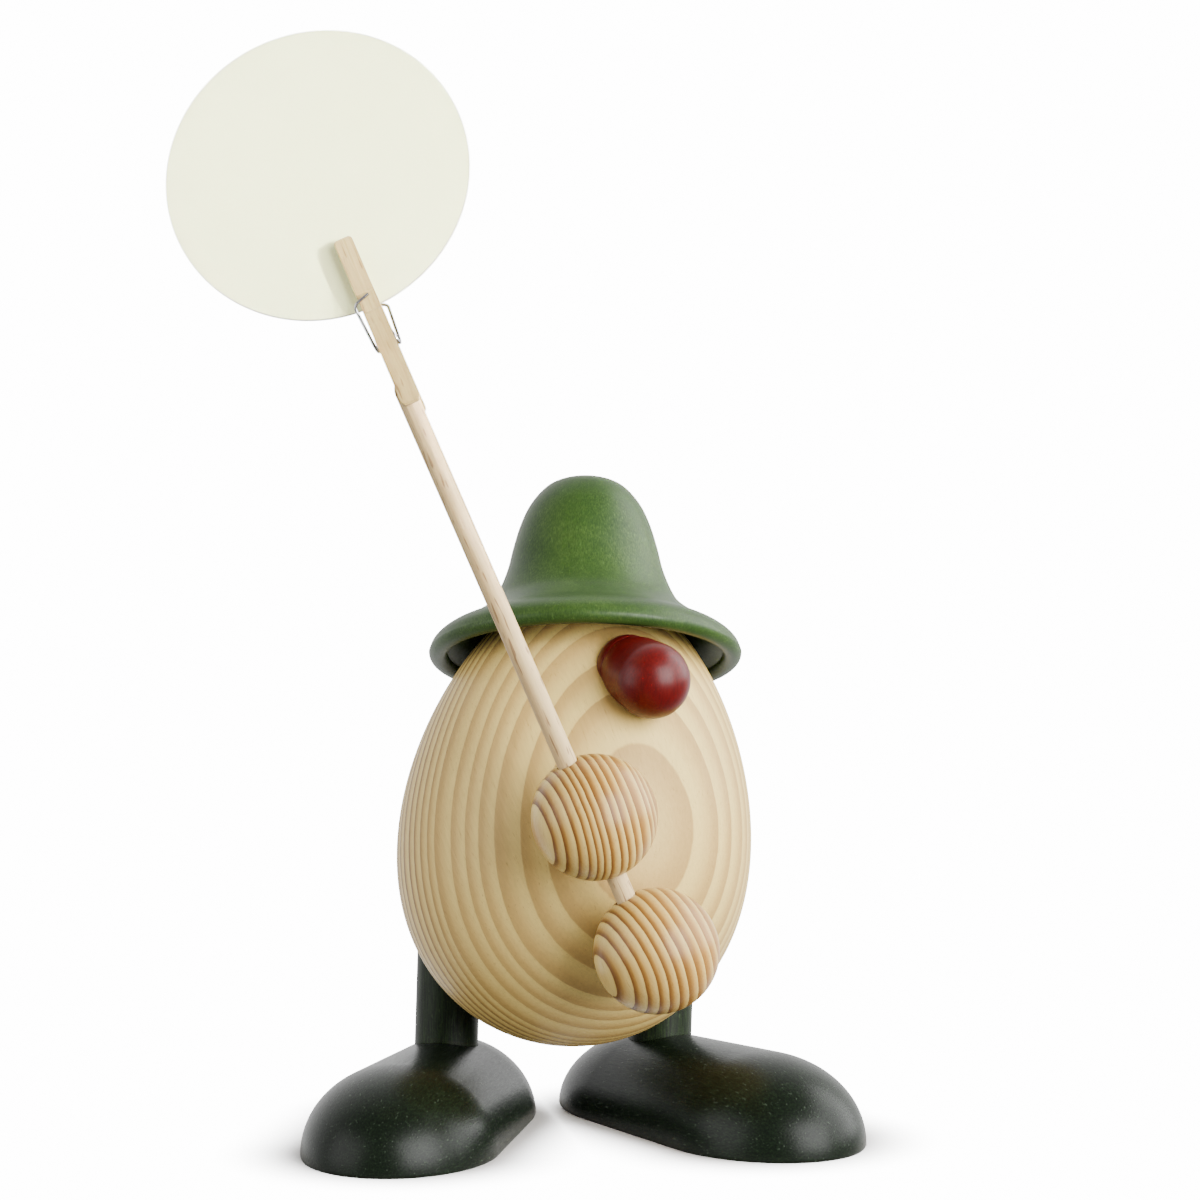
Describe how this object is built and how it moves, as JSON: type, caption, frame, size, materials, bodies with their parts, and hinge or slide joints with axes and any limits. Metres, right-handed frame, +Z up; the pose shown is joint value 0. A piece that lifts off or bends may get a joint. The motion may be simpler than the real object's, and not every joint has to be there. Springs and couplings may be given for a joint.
{
  "type": "wooden egghead figurine",
  "caption": "Wooden egg-bodied figurine in a green turned hat, holding a stick with a small clothes peg that grips a round cream card.",
  "frame": {"origin": "middle of the bottom of the overall box, on the surface that the shoes stand on", "axes": "+Z up; the figure faces -Y and its own left is +X"},
  "size_m": [0.1812, 0.1294, 0.2894],
  "materials": {
    "pale_softwood": "matt",
    "striped_softwood": "satin",
    "green_stained_wood": "satin",
    "dark_stained_wood": "satin",
    "red_varnished_wood": "gloss",
    "beech": "matt",
    "peg_wood": "matt",
    "spring_wire": "polished",
    "cream_board": "matt"
  },
  "bodies": {
    "figure": {"body": "pale_softwood", "hat": "green_stained_wood", "nose": "red_varnished_wood", "left_leg": "dark_stained_wood", "right_leg": "dark_stained_wood", "left_shoe": "dark_stained_wood", "right_shoe": "dark_stained_wood", "upper_hand": "striped_softwood", "lower_hand": "striped_softwood", "hat_dowel": "beech", "nose_dowel": "beech", "upper_hand_dowel": "beech", "lower_hand_dowel": "beech"},
    "holder": {"stick": "beech", "peg_front_arm": "peg_wood", "peg_spring": "spring_wire"},
    "press_arm": {"peg_rear_arm": "peg_wood"},
    "card": {"card": "cream_board"}
  },
  "joints": [
    {"name": "stick_turn", "type": "hinge", "parent": "figure", "child": "holder", "pos_m": [0.01179, -0.04958, 0.09223], "axis": [-0.4017, -0.0456, 0.9146], "continuous": true},
    {"name": "peg_press", "type": "hinge", "parent": "holder", "child": "press_arm", "pos_m": [-0.03905, -0.04579, 0.21224], "axis": [-0.9053, 0.1331, -0.4034], "range_deg": [0, 3], "stiffness_Nm_per_rad": 0.05, "springref_deg": -2.86, "deforming": ["peg_spring"]},
    {"name": "card_slide", "type": "slide", "parent": "holder", "child": "card", "axis": [-0.3101, 0.442, 0.8417], "range_m": [0, 0.015]}
  ]
}
